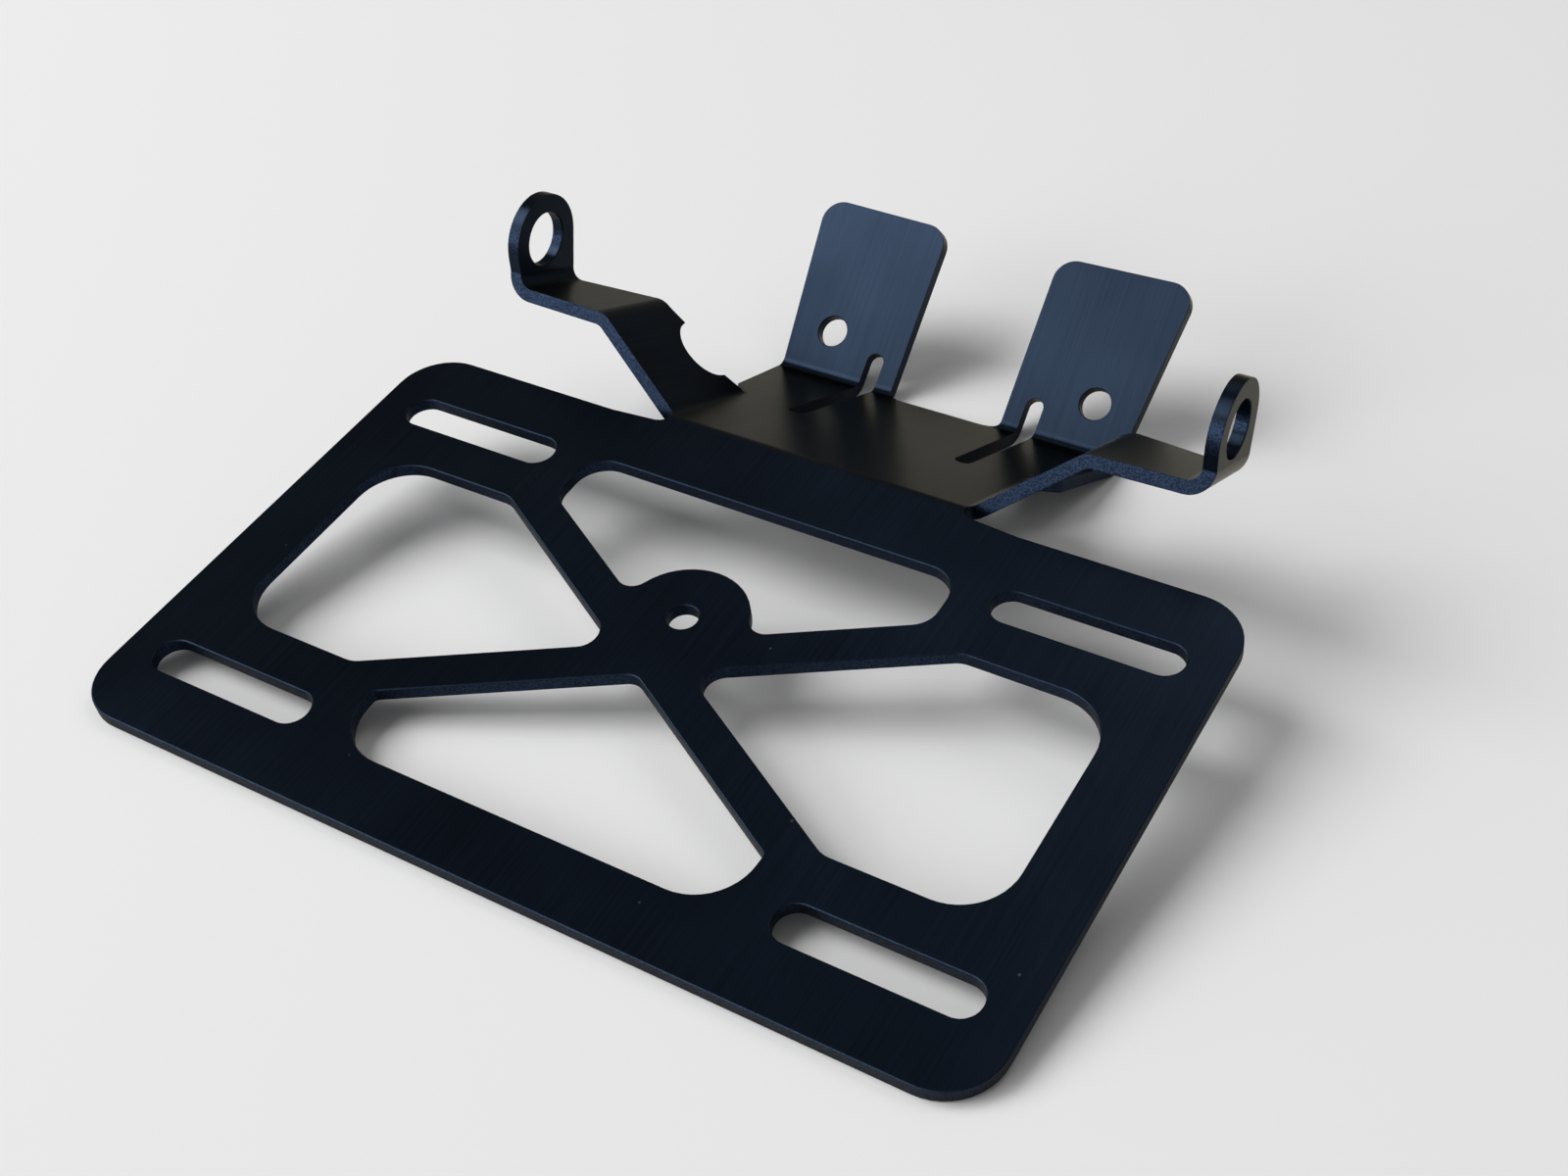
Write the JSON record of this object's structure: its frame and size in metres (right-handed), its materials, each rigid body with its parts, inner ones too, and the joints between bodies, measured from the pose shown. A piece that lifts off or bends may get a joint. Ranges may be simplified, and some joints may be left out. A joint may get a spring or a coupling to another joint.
{
  "type": "tail tidy",
  "caption": "Folded sheet-metal tail tidy for a motorcycle: slotted licence plate panel with windows, web, two bolt tabs and two indicator ears.",
  "frame": {"origin": "centre of the four plate slots, on the front face of the plate panel", "axes": "+Z out of the plate panel's front face, towards a viewer behind the motorcycle; +Y up the plate panel, towards the web and the tabs; X across, with the two halves mirrored in x = 0"},
  "size_m": [0.172, 0.1824, 0.0533],
  "materials": {
    "anodised_sheet": "brushed, black to navy anodised, satin"
  },
  "bodies": {
    "root": {"tail_tidy_bracket": "anodised_sheet"}
  },
  "joints": []
}
